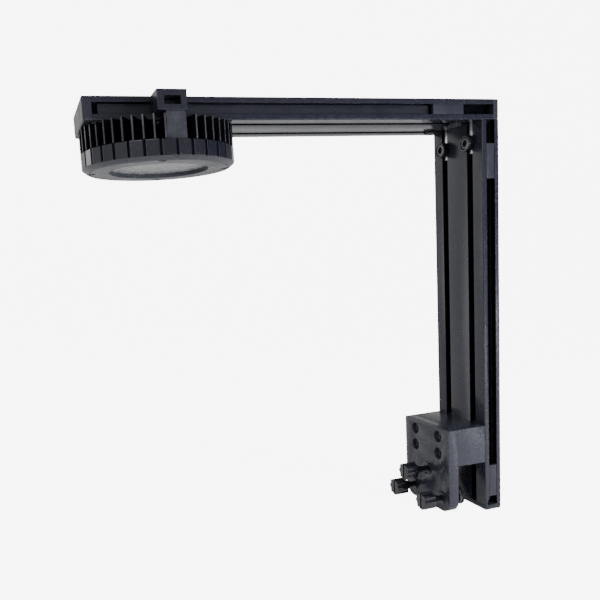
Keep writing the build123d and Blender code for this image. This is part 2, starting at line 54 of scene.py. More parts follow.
# tone: the two colours that the mottling runs between. rough: the same for roughness.
# mottle: its size in mm. grain: size and depth in mm of the fine bumps.
# lines: axis, size and depth in mm of drawn lines. metallic: 0 unless given.
# shine: strength of the clear reflection, 0.5 for bare plastic or anodised metal.
finishes = {
    "anodised_black": dict(tone=((0.011, 0.012, 0.023), (0.022, 0.023, 0.035)), rough=(0.20, 0.30),
                           mottle=2.2, grain=(0.25, 0.006), lines=("z", 0.35, 0.006), shine=0.5),
    "arm_black": dict(tone=((0.010, 0.011, 0.021), (0.020, 0.021, 0.032)), rough=(0.14, 0.22), mottle=2.2,
                      grain=(0.25, 0.004), lines=("x", 0.35, 0.005), shine=0.5),
    "clamp_black": dict(tone=((0.024, 0.025, 0.038), (0.030, 0.032, 0.045)), rough=(0.24, 0.29), mottle=0.7,
                        grain=(0.3, 0.006), lines=None, shine=0.5),
    "hanger_black": dict(tone=((0.010, 0.011, 0.020), (0.021, 0.022, 0.032)), rough=(0.26, 0.36), mottle=1.6,
                         grain=(0.3, 0.008), lines=None, shine=0.5),
    "head_black": dict(tone=((0.006, 0.006, 0.013), (0.014, 0.015, 0.024)), rough=(0.12, 0.24), mottle=2.0,
                       grain=(0.25, 0.005), lines=None, shine=0.8),
    # painted highlight: the light tone of the fins' outer rims and of one edge of each ring panel
    "fin_painted_highlight": dict(tone=((0.030, 0.031, 0.042), (0.062, 0.064, 0.078)), rough=(0.25, 0.40), mottle=1.0,
                     grain=(0.25, 0.010), lines=("z", 0.3, 0.01), shine=0.5),
    # painted shade: near black given to slot insides, the gaps between fins and the ring's grooves, where
    # shade falls
    "recess_painted_shade": dict(tone=((0.0010, 0.0008, 0.0022), (0.0035, 0.003, 0.006)), rough=(0.5, 0.7),
                         mottle=1.5, grain=(0.3, 0.01), lines=None, shine=0.08),
    "leg_black": dict(tone=((0.018, 0.019, 0.029), (0.068, 0.070, 0.086)), rough=(0.40, 0.58), mottle=0.6,
                      grain=(0.45, 0.05), lines=None, shine=0.4),
    "plastic_black": dict(tone=((0.016, 0.017, 0.026), (0.028, 0.029, 0.040)), rough=(0.28, 0.40), mottle=1.2,
                          grain=(0.3, 0.012), lines=None, shine=0.5),
    "clip_grey": dict(tone=((0.016, 0.017, 0.027), (0.028, 0.030, 0.043)), rough=(0.34, 0.48), mottle=1.5,
                      grain=(0.3, 0.014), lines=None, shine=0.5),
    "strip_grey": dict(tone=((0.013, 0.014, 0.023), (0.026, 0.027, 0.038)), rough=(0.30, 0.45), mottle=1.5,
                       grain=(0.3, 0.014), lines=("x", 0.3, 0.01), shine=0.45),
    "screw_black": dict(tone=((0.004, 0.004, 0.008), (0.012, 0.012, 0.018)), rough=(0.14, 0.26), mottle=0.8,
                        grain=(0.2, 0.010), lines=None, shine=0.8),
    "dark_steel": dict(tone=((0.05, 0.052, 0.062), (0.17, 0.175, 0.19)), rough=(0.16, 0.34), mottle=0.5,
                       grain=(0.25, 0.02), lines=None, shine=0.5, metallic=0.85),
    "bare_steel": dict(tone=((0.34, 0.345, 0.36), (0.86, 0.86, 0.88)), rough=(0.20, 0.42), mottle=0.6,
                       grain=(0.35, 0.06), lines=None, shine=0.5, metallic=1.0),
    "pad_rubber": dict(tone=((0.006, 0.006, 0.008), (0.014, 0.014, 0.017)), rough=(0.50, 0.70), mottle=0.8,
                       grain=(0.3, 0.03), lines=None, shine=0.35),
    "bezel_grey": dict(tone=((0.026, 0.028, 0.038), (0.046, 0.048, 0.062)), rough=(0.24, 0.36), mottle=1.4,
                       grain=(0.3, 0.010), lines=None, shine=0.5),
    "silicone": dict(tone=((0.45, 0.45, 0.45), (0.65, 0.65, 0.65)), rough=(0.5, 0.6), mottle=1.0,
                     grain=(0.3, 0.02), lines=None, shine=0.5),
    "board_white": dict(tone=((0.66, 0.67, 0.67), (0.84, 0.85, 0.85)), rough=(0.3, 0.4), mottle=3.0,
                        grain=(0.3, 0.01), lines=None, shine=0.5),
    "emitter_yellow": dict(tone=((0.70, 0.55, 0.14), (0.9, 0.8, 0.3)), rough=(0.3, 0.45), mottle=1.0,
                           grain=(0.2, 0.02), lines=None, shine=0.5),
}
edgeHighlightLift = 1.3  # how much lighter a rounded edge is painted than its face, as a painted highlight
# the broad clouds' size against the fine ones', each one's share of the tone, and their detail
clouds = dict(broader=14, fineShare=0.65, broadShare=0.35, fineDetail=6.0, broadDetail=2.0)
bumps = dict(grainDetail=3.0, lineDetail=2.0, squeeze=0.012)  # squeeze: of drawn lines along their axis


def addNode(tree, kind, **values):
    made = tree.nodes.new(kind)
    for key, value in values.items():
        if key in made.inputs:
            made.inputs[key].default_value = value
        else:
            setattr(made, key, value)
    return made


def noiseAt(tree, coords, size, detail, stretch=(1, 1, 1)):
    # noise whose features are size mm across, drawn out along an axis by a small stretch value
    mapping = addNode(tree, "ShaderNodeMapping")
    mapping.inputs["Scale"].default_value = [s / (size * mm) for s in stretch]
    tree.links.new(coords.outputs["Object"], mapping.inputs["Vector"])
    noise = addNode(tree, "ShaderNodeTexNoise", Scale=1.0, Detail=detail, Roughness=0.6)
    tree.links.new(mapping.outputs["Vector"], noise.inputs["Vector"])
    return noise.outputs["Fac"]


def spread(tree, value, low, high, start=0.35, stop=0.65):
    # carries a noise value's middle range onto low..high
    made = addNode(tree, "ShaderNodeMapRange")
    for name, number in zip(("From Min", "From Max", "To Min", "To Max"), (start, stop, low, high)):
        made.inputs[name].default_value = number
    tree.links.new(value, made.inputs["Value"])
    return made.outputs["Result"]


def bumped(tree, height, depth, before=None):
    bump = addNode(tree, "ShaderNodeBump", Strength=1.0, Distance=depth * mm)
    tree.links.new(height, bump.inputs["Height"])
    if before:
        tree.links.new(before.outputs["Normal"], bump.inputs["Normal"])
    return bump


def newMaterial(name):
    material = bpy.data.materials.new(name)
    material.use_nodes = True
    tree = material.node_tree
    tree.nodes.clear()
    output = addNode(tree, "ShaderNodeOutputMaterial")
    shader = addNode(tree, "ShaderNodeBsdfPrincipled")
    tree.links.new(shader.outputs["BSDF"], output.inputs["Surface"])
    return material, tree, shader, addNode(tree, "ShaderNodeTexCoord")


def mixed(tree, factor, dark, light, target):
    # inputs 6 and 7 and output 2 are the Mix node's colours
    colour = addNode(tree, "ShaderNodeMix", data_type="RGBA")
    colour.inputs[6].default_value = (*dark, 1)
    colour.inputs[7].default_value = (*light, 1)
    tree.links.new(factor, colour.inputs["Factor"])
    tree.links.new(colour.outputs[2], target)


def makeFinish(name, look, highlightLift):
    material, tree, shader, coords = newMaterial(name)
    shader.inputs["Metallic"].default_value = look.get("metallic", 0.0)
    shader.inputs["Specular IOR Level"].default_value = look["shine"]
    fine = noiseAt(tree, coords, look["mottle"], clouds["fineDetail"])
    broad = noiseAt(tree, coords, look["mottle"] * clouds["broader"], clouds["broadDetail"])
    both = addNode(tree, "ShaderNodeMath", operation="ADD")
    tree.links.new(spread(tree, fine, 0.0, clouds["fineShare"]), both.inputs[0])
    tree.links.new(spread(tree, broad, 0.0, clouds["broadShare"]), both.inputs[1])
    dark, light = ([min(1, c * highlightLift) for c in tone] for tone in look["tone"])
    mixed(tree, both.outputs[0], dark, light, shader.inputs["Base Color"])
    tree.links.new(spread(tree, broad, *look["rough"]), shader.inputs["Roughness"])
    size, depth = look["grain"]
    bump = bumped(tree, noiseAt(tree, coords, size, bumps["grainDetail"]), depth)
    if look["lines"]:
        axis, width, drawn = look["lines"]
        stretch = [bumps["squeeze"] if axis == letter else 1.0 for letter in "xyz"]
        bump = bumped(tree, noiseAt(tree, coords, width, bumps["lineDetail"], stretch), drawn, bump)
    tree.links.new(bump.outputs["Normal"], shader.inputs["Normal"])
    return material


finishMade = {}


def finishOf(name, highlightLift=1.0):
    if (name, highlightLift) not in finishMade:
        finishMade[name, highlightLift] = makeFinish(name if highlightLift == 1.0 else name + "_edge", finishes[name], highlightLift)
    return finishMade[name, highlightLift]


frosted = dict(tone=((0.29, 0.29, 0.30), (0.38, 0.38, 0.39)), rough=(0.22, 0.34), cloud=7.0, detail=5.0,
               through=0.2, ior=1.49, grain=(0.5, 0.02))


def makeFrosted():
    material, tree, shader, coords = newMaterial("lens_frosted")
    cloudy = noiseAt(tree, coords, frosted["cloud"], frosted["detail"])
    mixed(tree, spread(tree, cloudy, 0, 1), *frosted["tone"], shader.inputs["Base Color"])
    tree.links.new(spread(tree, cloudy, *frosted["rough"]), shader.inputs["Roughness"])
    shader.inputs["Transmission Weight"].default_value = frosted["through"]
    shader.inputs["IOR"].default_value = frosted["ior"]
    size, depth = frosted["grain"]
    bump = bumped(tree, noiseAt(tree, coords, size, bumps["lineDetail"]), depth)
    tree.links.new(bump.outputs["Normal"], shader.inputs["Normal"])
    return material


# nodes whose finish isn't simply that of their material slot
nodeFinish = {
    "arm_profile": "arm_black", "clamp_plate": "clamp_black", "clamp_block": "clamp_black",
    "front_hanger_leg": "leg_black", "rear_hanger_leg": "leg_black", "arm_channel_strip": "strip_grey",
    "front_hanger_block": "hanger_black", "rear_hanger_block": "hanger_black",
}


def lookName(name):
    return nodeFinish.get(name, slotOf[name])


for name, obj in frame["nodes"].items():
    obj.data.materials.clear()
    obj.data.materials.append(makeFrosted() if name == "lens_window" else finishOf(lookName(name)))
print("finishes on the CAD nodes:", len(frame["nodes"]))


def addPiece(name, mesh, nodeName, finishNames, replaced=True):
    piece = bpy.data.objects.new(name, mesh)
    bpy.context.scene.collection.objects.link(piece)
    mesh.materials.clear()
    for finish in finishNames:
        mesh.materials.append(finishOf(*finish) if isinstance(finish, tuple) else finishOf(finish))
    if replaced:
        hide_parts(nodeName)
    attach(piece, bodyOf[nodeName])
    return piece


def centresOf(mesh):
    centres = np.zeros(len(mesh.polygons) * 3)
    mesh.polygons.foreach_get("center", centres)
    return centres.reshape(-1, 3)


# degrees from which an edge is rounded, and the mm and degrees within which points join and faces are flat
rounding = dict(fromAngle=32, segments=2)
weld = dict(copied=0.002, made=0.0005, flat=0.6)


def roundEdges(piece, width):
    # the rounding takes the piece's second finish, which is its finish painted lighter as a highlight
    bevel = piece.modifiers.new("rounding", "BEVEL")
    bevel.limit_method = "ANGLE"
    bevel.angle_limit = math.radians(rounding["fromAngle"])
    bevel.width = width * mm
    bevel.segments = rounding["segments"]
    bevel.material = 1
    bevel.harden_normals = True


def mergedMesh(nodeName):
    # copy of a CAD node with its loose triangles joined into flat faces
    made = bmesh.new()
    made.from_mesh(frame["nodes"][nodeName].data)
    bmesh.ops.remove_doubles(made, verts=made.verts, dist=weld["copied"] * mm)
    flat = math.radians(weld["flat"])
    bmesh.ops.dissolve_limit(made, angle_limit=flat, verts=made.verts, edges=made.edges)
    mesh = bpy.data.meshes.new(nodeName + "_fine")
    made.to_mesh(mesh)
    made.free()
    mesh.polygons.foreach_set("use_smooth", np.ones(len(mesh.polygons), bool))
    return mesh


# rounding of each copied node's edges in mm
softEdges = {
    "post_profile": 0.20, "arm_profile": 0.20, "post_foot_cap": 0.30, "arm_tip_cap": 0.30,
    "arm_corner_cap": 0.30, "clamp_plate": 0.35, "clamp_block": 0.30, "front_hanger_block": 0.30,
    "rear_hanger_block": 0.30,
    "front_hanger_leg": 0.30, "rear_hanger_leg": 0.30, "heat_sink": 0.14,
    "front_corner_connector": 0.25, "rear_corner_connector": 0.25, "arm_cable_clip": 0.22,
    "post_top_cable_clip": 0.22, "post_foot_cable_clip": 0.22, "arm_channel_strip": 0.30,
    "thumb_screw_bushes": 0.12, "clamp_slot_nuts": 0.20,
}
lipDepth = 0.35  # how far inside a profile's mouth the painted shade of its slots begins, in mm
finRim = 0.6  # how much of each fin's outer edge is painted light as a highlight, in mm


def insideOfProfile(centres, box):
    # faces deeper than the lips' outer edge on the slotted side and on both channel sides
    low, high = np.array(box[0]), np.array(box[1])
    inner = np.ones(len(centres), bool)
    for axis in range(3):
        along = centres[:, axis]
        inner &= (along > low[axis] + lipDepth * mm) & (along < high[axis] - lipDepth * mm)
    return inner


def insideOfFins(centres, box):
    # everything nearer the axis than the fins' outer edges
    middle = (np.array(box[0]) + np.array(box[1])) / 2
    away = np.hypot(centres[:, 0] - middle[0], centres[:, 1] - middle[1])
    return away < (box[1].x - box[0].x) / 2 - finRim * mm


for nodeName, width in softEdges.items():
    mesh = mergedMesh(nodeName)
    look = lookName(nodeName)
    # the heat sink's fin rims take the painted highlight, and the faces between its fins take painted shade
    # below
    face = "fin_painted_highlight" if nodeName == "heat_sink" else look
    piece = addPiece(nodeName + "_fine", mesh, nodeName, [face, (look, edgeHighlightLift), "recess_painted_shade"])
    inner = None
    if nodeName.endswith("_profile"):
        inner = insideOfProfile(centresOf(mesh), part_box(nodeName))
    elif nodeName == "heat_sink":
        inner = insideOfFins(centresOf(mesh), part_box(nodeName))
    if inner is not None:  # the third finish is the painted shade of the slot insides and of the gaps between fins
        mesh.polygons.foreach_set("material_index", np.where(inner, 2, 0).astype(np.int32))
    roundEdges(piece, width)
print("rounded copies:", len(softEdges))


def gridFaces(rows, cols, wrapRows, wrapCols):
    i, j = np.meshgrid(np.arange(rows - (not wrapRows)), np.arange(cols - (not wrapCols)), indexing="ij")
    down, right = (i + 1) % rows, (j + 1) % cols
    corners = [i * cols + j, i * cols + right, down * cols + right, down * cols + j]
    return np.stack(corners, axis=-1).reshape(-1, 4)


def meshOf(name, grids, sharpAngle=34):
    # grids: (points rows x cols x 3 in metres, rows wrap, cols wrap)
    # poles are merged and faces turned outwards
    points, faces, start = [], [], 0
    for grid, wrapRows, wrapCols in grids:
        rows, cols = grid.shape[:2]
        points.append(grid.reshape(-1, 3))
        faces.append(gridFaces(rows, cols, wrapRows, wrapCols) + start)
        start += rows * cols
    mesh = bpy.data.meshes.new(name)
    mesh.from_pydata(np.concatenate(points).tolist(), [], np.concatenate(faces).tolist())
    made = bmesh.new()
    made.from_mesh(mesh)
    bmesh.ops.remove_doubles(made, verts=made.verts, dist=weld["made"] * mm)
    bmesh.ops.recalc_face_normals(made, faces=made.faces)
    made.to_mesh(mesh)
    made.free()
    mesh.polygons.foreach_set("use_smooth", np.ones(len(mesh.polygons), bool))
    mesh.set_sharp_from_angle(angle=math.radians(sharpAngle))
    return mesh


def spun(radii, heights, turns):
    # x = r cos t, y = r sin t, z = height, for every row's height and every turn t
    # radii may change with the turn
    radii = np.broadcast_to(radii, (len(heights), len(turns)))
    return np.stack([radii * np.cos(turns), radii * np.sin(turns),
                     np.broadcast_to(np.array(heights)[:, None], radii.shape)], axis=-1)


def placed(points, origin, axis):
    # local z laid along the axis, in mm, then moved to the origin given in mm
    z = np.array(axis, float)
    x = np.cross((0, 1, 0) if abs(z[1]) < 0.9 else (0, 0, 1), z)
    y = np.cross(z, x)
    return (points @ np.stack([x, y, z]) + np.array(origin)) * mm


def polygonRadius(flats, sides, turns):
    # distance from the middle to a regular polygon's side at each turn
    part = 2 * math.pi / sides
    return flats / 2 / np.cos((turns + part / 2) % part - part / 2)


def boxOf(nodeName):
    low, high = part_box(nodeName)
    return np.array(low) / mm, np.array(high) / mm


# ridges round a head and their depth, rounding, shank's chamfer, the head's crown and the socket's ends
socketScrews = dict(knurls=24, knurlDepth=0.16, samples=144, edge=0.35, tip=0.3, crown=(0.3, 0.05),
                    mouth=0.25, drill=0.15)
# in mm, head: radius and height. key: width across flats and depth. shank: radius and length.
# spread: the axes along which a node's screws stand apart.
screwKinds = {
    "post_corner_bolts": dict(head=(4.7, 4.6), key=(5.0, 2.8), shank=(3.0, 5.8), spread=(0, 1, 0)),
    "arm_corner_bolts": dict(head=(4.7, 2.0), key=(4.0, 1.3), shank=(3.0, 5.8), spread=(0, 1, 0)),
    "clamp_screws": dict(head=(4.2, 4.0), key=(4.0, 2.3), shank=(2.5, 34.4), spread=(0, 1, 1)),
    "bezel_screws": dict(head=(2.4, 1.5), key=(2.0, 0.8), shank=(1.5, 9.0), spread=(1, 1, 0)),
}


def socketScrew(nodeName, knurled):
    # a profile of radius against height spun round z: shank, head with a ridged side, and a six-sided socket
    kind = screwKinds[nodeName]
    (headRadius, height), (key, keyDepth), (shank, length) = kind["head"], kind["key"], kind["shank"]
    turns = np.linspace(0, 2 * math.pi, socketScrews["samples"], endpoint=False)
    edge, tip, mouth = socketScrews["edge"], socketScrews["tip"], socketScrews["mouth"]
    crown, dip = socketScrews["crown"]
    ridge = socketScrews["knurlDepth"] * (0.5 + 0.5 * np.cos(socketScrews["knurls"] * turns)) * knurled
    side, socket = headRadius - ridge, polygonRadius(key, 6, turns)
    flat = np.zeros_like(turns)
    radii = [flat, flat + shank - tip, flat + shank, flat + shank, flat + headRadius - edge, side, side,
             flat + headRadius - crown - edge, flat + headRadius - 2 * crown - edge, socket + mouth, socket,
             socket, flat]
    heights = [-length, -length, -length + tip, 0, 0, edge, height - edge, height - dip, height, height,
               height - mouth, height - keyDepth, height - keyDepth - key * socketScrews["drill"]]
    return spun(np.stack(radii), heights, turns)


# ease: how far the rounding stands in. grooveFrom: the part of a wave that is no groove.
collar = dict(inner=4.75, outer=6.1, height=5.0, ridges=20, ridgeDepth=0.45, edge=0.5, samples=200,
              mouth=0.25, ease=0.12, easedGroove=0.6, easedEdge=0.35, grooveFrom=0.2)


def ridgedCollar():
    # a closed loop of radius against height spun round z, its outside cut by evenly spaced rounded grooves
    turns = np.linspace(0, 2 * math.pi, collar["samples"], endpoint=False)
    wave = np.clip(np.cos(collar["ridges"] * turns) - collar["grooveFrom"], 0, None)
    groove = collar["ridgeDepth"] * wave / (1 - collar["grooveFrom"])
    inner, outer, height, edge = collar["inner"], collar["outer"], collar["height"], collar["edge"]
    mouth, eased = collar["mouth"], edge * collar["easedEdge"]
    flat = np.zeros_like(turns)
    shoulder = outer - collar["ease"] - groove * collar["easedGroove"]
    radii = [flat + inner, flat + inner + mouth, flat + outer - edge, shoulder, outer - groove,
             outer - groove, shoulder, flat + outer - edge, flat + inner + mouth, flat + inner]
    heights = [height - mouth, height, height, height - eased, height - edge, edge, eased, 0, 0, mouth]
    return spun(np.stack(radii), heights, turns)


def screwSpots(nodeName, axis, seat):
    # a node's screws lie on separate sides of its middle along the axes of spread;
    # each side's points give one screw's middle, which is put at the seat along the given axis
    mesh = mergedMesh(nodeName)
    points = np.zeros(len(mesh.vertices) * 3, np.float32)
    mesh.vertices.foreach_get("co", points)
    bpy.data.meshes.remove(mesh)
    points = points.reshape(-1, 3).astype(float) / mm
    beyond = points > (points.min(0) + points.max(0)) / 2
    side = (beyond * screwKinds[nodeName]["spread"]) @ (4, 2, 1)
    groups = [points[side == k] for k in np.unique(side)]
    spots = np.array([(group.min(0) + group.max(0)) / 2 for group in groups])
    spots[:, axis] = seat
    return spots[np.lexsort(spots.round(3).T[::-1])]


def addScrews(nodeName, spots, away, finish, knurled=True):
    grids = [(placed(socketScrew(nodeName, knurled), spot, away), False, True) for spot in spots]
    addPiece(nodeName + "_fine", meshOf(nodeName + "_fine", grids), nodeName, [finish])


clampSeat, bezelSeat = 6.8, 1.9  # depth of the clamp plate's and the bezel's counterbores in mm
towardsLeft, downwards = (-1, 0, 0), (0, 0, -1)

spots = screwSpots("post_corner_bolts", 0, boxOf("post_profile")[0][0])
addScrews("post_corner_bolts", spots, towardsLeft, "dark_steel")
collars = [(placed(ridgedCollar(), spot, towardsLeft), True, True) for spot in spots]
collarMesh = meshOf("post_bolt_collars_fine", collars)
addPiece("post_bolt_collars_fine", collarMesh, "post_bolt_collars", ["screw_black"])
spots = screwSpots("arm_corner_bolts", 2, boxOf("arm_profile")[0][2])
addScrews("arm_corner_bolts", spots, downwards, "dark_steel")
spots = screwSpots("clamp_screws", 0, boxOf("clamp_plate")[0][0] + clampSeat)
addScrews("clamp_screws", spots, towardsLeft, "dark_steel")
spots = screwSpots("bezel_screws", 2, boxOf("bezel")[0][2] + bezelSeat)
addScrews("bezel_screws", spots, downwards, "screw_black", knurled=False)
print("socket screws and collars")


# sink: how far the thread's foot is buried. fade: radians over which an end dies away, down to thinnest.
# gaps: free shank at the head and at the point. grip: how near the shank's radius a point counts as shank.
thumb = dict(shank=3.0, core=2.45, pitch=1.0, crest=0.14, root=0.88, steps=28, headLength=10.5, rounding=0.3,
             sink=0.06, fade=2.0, thinnest=0.02, gaps=(0.2, 2.9), grip=0.08, sharp=50)


def threadCoil(start, end):
    # a four-sided profile of radius against offset carried along a helix about z; each end closes to a point
    pitch, core, shank = thumb["pitch"], thumb["core"] - thumb["sink"], thumb["shank"]
    turns = np.linspace(0, (end - start) / pitch * 2 * math.pi, int((end - start) * thumb["steps"]))
    rise = start + turns / (2 * math.pi) * pitch
    fade = np.clip(np.minimum(turns, turns[-1] - turns) / thumb["fade"], 0, 1)
    foot, top = np.full_like(turns, core), core + (shank - core) * fade
    radii = np.stack([foot, top, top, foot], axis=1)
    half = np.array([-thumb["root"], -thumb["crest"], thumb["crest"], thumb["root"]]) / 2
    offset = half[None, :] * np.clip(fade, thumb["thinnest"], 1)[:, None]
    across, up = np.cos(turns)[:, None], np.sin(turns)[:, None]
    coil = np.stack([radii * across, radii * up, rise[:, None] + offset], axis=-1)
    ends = [np.broadcast_to(coil[k].mean(0), coil[k].shape)[None] for k in (0, -1)]
    return np.concatenate([ends[0], coil, ends[1]])


for place in ("top", "rear", "front"):
    nodeName = place + "_thumb_screw"
    low, high = boxOf(nodeName)
    axisY, axisZ = (low[1] + high[1]) / 2, (low[2] + high[2]) / 2
    mesh = mergedMesh(nodeName)
    co = np.zeros(len(mesh.vertices) * 3)
    mesh.vertices.foreach_get("co", co)
    co = co.reshape(-1, 3)
    away = np.hypot(co[:, 1] - axisY * mm, co[:, 2] - axisZ * mm)
    onShank = np.abs(away - thumb["shank"] * mm) < thumb["grip"] * mm
    scale = np.where(onShank, thumb["core"] / thumb["shank"], 1.0)
    co[:, 1] = axisY * mm + (co[:, 1] - axisY * mm) * scale
    co[:, 2] = axisZ * mm + (co[:, 2] - axisZ * mm) * scale
    mesh.vertices.foreach_set("co", co.ravel())
    mesh.update()
    # the thumb screw's rounded edges take its finish painted lighter as a highlight
    piece = addPiece(nodeName + "_fine", mesh, nodeName, ["screw_black", ("screw_black", edgeHighlightLift)])
    roundEdges(piece, thumb["rounding"])
    start, stop = thumb["gaps"]
    coil = threadCoil(start, high[0] - low[0] - thumb["headLength"] - stop)
    coil = placed(coil, (low[0] + thumb["headLength"], axisY, axisZ), (1, 0, 0))
    threadMesh = meshOf(place + "_screw_thread", [(coil, False, True)], thumb["sharp"])
    addPiece(place + "_screw_thread", threadMesh, nodeName, ["screw_black"], replaced=False)
print("thumb screws with threads")


# in mm, step: how far the cup stands inside the rubber. ease, lip, edge: small, middling and large rounding.
pad = dict(radius=7.5, thickness=4.0, rubber=1.9, step=0.35, bore=2.05, boreDepth=2.55, ribs=(5.6, 3.9, 2.2),
           ribHalf=(0.5, 0.35), ribDepth=0.25, ease=0.15, lip=0.2, edge=0.5, back=(1.0, 0.55), samples=72)


def padShape():
    # radius against height spun round z: metal cup with a bored back, then a wider rubber face with rings
    radius, split, top = pad["radius"], pad["thickness"] - pad["rubber"], pad["thickness"]
    ease, lip, edge, cup, bore = pad["ease"], pad["lip"], pad["edge"], radius - pad["step"], pad["bore"]
    (backIn, backOut), (outer, inner) = pad["back"], pad["ribHalf"]
    rows = [(0, pad["boreDepth"]), (bore, pad["boreDepth"]), (bore, ease), (bore + ease, 0),
            (radius - backIn, 0), (radius - backOut, ease), (cup, edge), (cup, split - ease),
            (cup - lip / 2, split), (radius - lip, split), (radius, split + lip), (radius, top - edge),
            (radius - ease, top - ease), (radius - edge, top)]
    for rib in pad["ribs"]:
        sunk = top - pad["ribDepth"]
        rows += [(rib + outer, top), (rib + inner, sunk), (rib - inner, sunk), (rib - outer, top)]
    rows.append((0, top))
    rows = np.array(rows, float)
    turns = np.linspace(0, 2 * math.pi, pad["samples"], endpoint=False)
    return spun(rows[:, :1], rows[:, 1], turns)


for place in ("top", "rear", "front"):
    nodeName = place + "_pressure_pad"
    low, high = boxOf(nodeName)
    origin = (low[0], (low[1] + high[1]) / 2, (low[2] + high[2]) / 2)
    mesh = meshOf(nodeName + "_fine", [(placed(padShape(), origin, (1, 0, 0)), False, True)])
    isRubber = centresOf(mesh)[:, 0] > (low[0] + pad["thickness"] - pad["rubber"]) * mm
    addPiece(nodeName + "_fine", mesh, nodeName, ["dark_steel", "pad_rubber"])
    mesh.polygons.foreach_set("material_index", isRubber.astype(np.int32))
print("pads")


# across, depth and looks: points over one panel from -1 to 1, how deep each lies, and the faces' finishes
ring = dict(panels=32, turn=1.75, groove=0.6, edge=0.35, easing=0.3, chamfer=0.2, inner=49.2, radius=52.4,
            sharp=20, tilts=(2.6, -3.1, 0.8, 3.4, -1.6, -3.0, 2.2, 0.2, -2.4),
            across=(-1, -0.87, -0.82, -0.77, -0.72, -0.4, 0, 0.4, 0.72, 0.77, 0.82, 0.87),
            depth=(1, 0.95, 0.15, 0, 0, 0, 0, 0, 0, 0, 0.15, 0.95),
            looks=(1, 1, 2, 0, 0, 0, 0, 0, 0, 0, 1, 1))


def housingRing():
    # round the axis, a flat panel's radius is d / cos(angle from its normal) and a groove's is less;
    # up the axis, the section is a closed loop with rounded corners
    low, high = boxOf("housing_ring")
    half = 180 / ring["panels"]
    local = np.array(ring["across"]) * half
    depth = np.array(ring["depth"]) * ring["groove"]
    tilt = np.resize(np.array(ring["tilts"]), ring["panels"])[:, None]
    flat = ring["radius"] * math.cos(math.radians(half))
    radii = flat * np.cos(np.radians(tilt)) / np.cos(np.radians(local[None, :] - tilt)) - depth[None, :]
    middles = ring["turn"] + half + np.arange(ring["panels"])[:, None] * 360 / ring["panels"]
    turns = np.radians(middles + local[None, :]).ravel()
    radii = radii.ravel()
    bottom, top, edge, chamfer = low[2], high[2], ring["edge"], ring["chamfer"]
    eased = edge * ring["easing"]
    inner = np.full_like(radii, ring["inner"])
    rows = [inner + chamfer, radii - edge, radii - eased, radii, radii, radii - eased, radii - edge,
            inner + chamfer, inner, inner]
    heights = [bottom, bottom, bottom + eased, bottom + edge, top - edge, top - eased, top, top,
               top - chamfer, bottom + chamfer]
    loop = spun(np.stack(rows), heights, turns)
    middle = ((low[0] + high[0]) / 2, (low[1] + high[1]) / 2, 0)
    return (loop + np.array(middle)) * mm


# the groove beside each panel gets painted shade, and one edge of the panel gets a painted highlight
ringMesh = meshOf("housing_ring_fine", [(housingRing(), True, True)], ring["sharp"])
slots = np.resize(np.array(ring["looks"]), len(ringMesh.polygons))
addPiece("housing_ring_fine", ringMesh, "housing_ring", ["head_black", "recess_painted_shade", "fin_painted_highlight"])
ringMesh.polygons.foreach_set("material_index", slots)
print("housing ring")


# groove: inner and outer radius and depth. slack: room round a screw's bore. first: degrees from x.
# step: where the face meets the bevel.
rim = dict(opening=34.3, face=49.2, outer=52.4, bevel=2.4, bevelEase=(0.2, 0.15), land=49.2, thickness=3.0,
           edge=0.3, groove=(47.3, 48.1, 0.5), grooveEase=0.1, slack=0.3, rows=26, rowsShort=1.3,
           step=(0.2, 0.1, 0.08), circle=45.8, first=-9.0, count=4, bore=2.5, turns=900, sharp=30)


def bezelRim():
    # a closed loop of radius against height spun round z; within a screw head's circle the face lies deeper
    low, high = boxOf("bezel")
    inner, outer, depth = rim["groove"]
    edge, ease, slack = rim["edge"], rim["grooveEase"], rim["slack"]
    circle, reach = rim["circle"], rim["bore"] + slack
    (before, after, dip), (bevelIn, bevelDown) = rim["step"], rim["bevelEase"]
    across = np.linspace(circle - reach, circle + reach - rim["rowsShort"], rim["rows"])
    loop = [(rim["opening"], edge), (rim["opening"] + edge, 0), (circle - reach - slack, 0)]
    loop += [(radius, 0) for radius in across if radius < inner - ease]
    loop += [(inner, 0), (inner + ease, depth), (outer - ease, depth), (outer, 0), (rim["face"] - before, 0),
             (rim["face"] + after, dip), (rim["outer"] - bevelIn, rim["bevel"] - bevelDown),
             (rim["outer"], rim["bevel"]), (rim["land"], rim["bevel"]), (rim["land"], rim["thickness"]),
             (rim["opening"], rim["thickness"])]
    loop = np.array(loop)
    turns = np.linspace(0, 2 * math.pi, rim["turns"], endpoint=False)
    points = spun(loop[:, :1], loop[:, 1], turns).copy()
    for k in range(rim["count"]):
        angle = math.radians(rim["first"] + k * 360 / rim["count"])
        away = np.hypot(points[..., 0] - circle * math.cos(angle), points[..., 1] - circle * math.sin(angle))
        sunk = (away < rim["bore"]) & (points[..., 2] < bezelSeat)
        points[..., 2] = np.where(sunk, bezelSeat, points[..., 2])
    return (points + np.array([(low[0] + high[0]) / 2, (low[1] + high[1]) / 2, low[2]])) * mm


rimMesh = meshOf("bezel_fine", [(bezelRim(), True, True)], rim["sharp"])
addPiece("bezel_fine", rimMesh, "bezel", ["bezel_grey"])
print("bezel")


studio = dict(floorTone=(0.82, 0.82, 0.82), halfWidth=5.0, front=-3.0, back=2.4, sweep=1.0, wall=3.0,
              floorSeen=7.0, floorGlow=0.28, rough=0.9, shine=0.1, bendSteps=24, widthSteps=9)


def brighterSeen(tree, strength, always):
    # a glow that the lens sees added to one that lights the object
    path = addNode(tree, "ShaderNodeLightPath")
    made = addNode(tree, "ShaderNodeMath", operation="MULTIPLY_ADD")
    made.inputs[1].default_value = strength
    made.inputs[2].default_value = always
    tree.links.new(path.outputs["Is Camera Ray"], made.inputs[0])
    return made.outputs[0]


